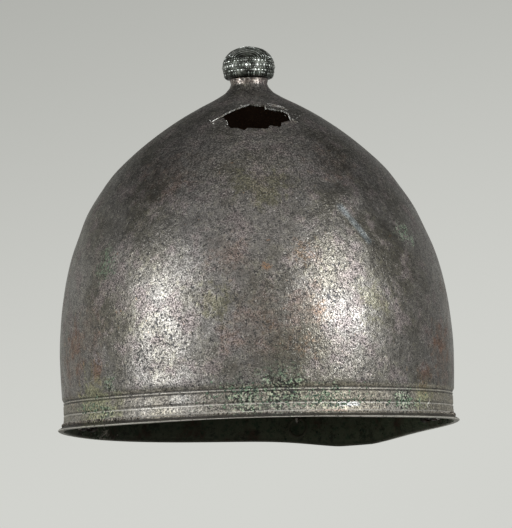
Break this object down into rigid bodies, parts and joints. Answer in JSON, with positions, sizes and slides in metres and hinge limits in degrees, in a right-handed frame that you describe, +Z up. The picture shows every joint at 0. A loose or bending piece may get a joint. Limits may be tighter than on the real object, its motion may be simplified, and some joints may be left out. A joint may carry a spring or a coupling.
{
  "type": "italic helmet",
  "caption": "Tall bell-shaped bronze helmet with a crest knob, an engraved band and flared lip, cheekpiece hinge plates inside the rim and a swinging strap ring.",
  "frame": {"origin": "on the surface that the helmet stands on, under the middle of the rim's outline", "axes": "+Z up as the helmet stands, -Y the way the wearer faces, +X to the right of someone facing the helmet's front; the bowl's own axis leans about 1.6 degrees towards -Y, because the back edge of the rim is lower"},
  "size_m": [0.215, 0.2329, 0.209],
  "materials": {
    "bowl_bronze": "worn grey-brown bronze patina",
    "knob_bronze": "dark green-black bronze patina",
    "fitting_bronze": "dull red-brown bronze patina"
  },
  "bodies": {
    "helmet": {"bowl": "bowl_bronze", "crest_knob": "knob_bronze", "knob_pin": "fitting_bronze", "knob_washer": "fitting_bronze", "hinge_plate_left": "fitting_bronze", "hinge_pin_left": "fitting_bronze", "hinge_rivet_left_front": "fitting_bronze", "hinge_rivet_left_back": "fitting_bronze", "hinge_plate_right": "fitting_bronze", "hinge_pin_right": "fitting_bronze", "hinge_rivet_right_front": "fitting_bronze", "hinge_rivet_right_back": "fitting_bronze", "strap_staple": "fitting_bronze"},
    "ring": {"strap_ring": "fitting_bronze"}
  },
  "joints": [
    {"name": "ring_swing", "type": "hinge", "parent": "helmet", "child": "ring", "pos_m": [0.02167, 0.10382, 0.01605], "axis": [0.971, -0.2391, 0], "range_deg": [-165, 15]}
  ]
}
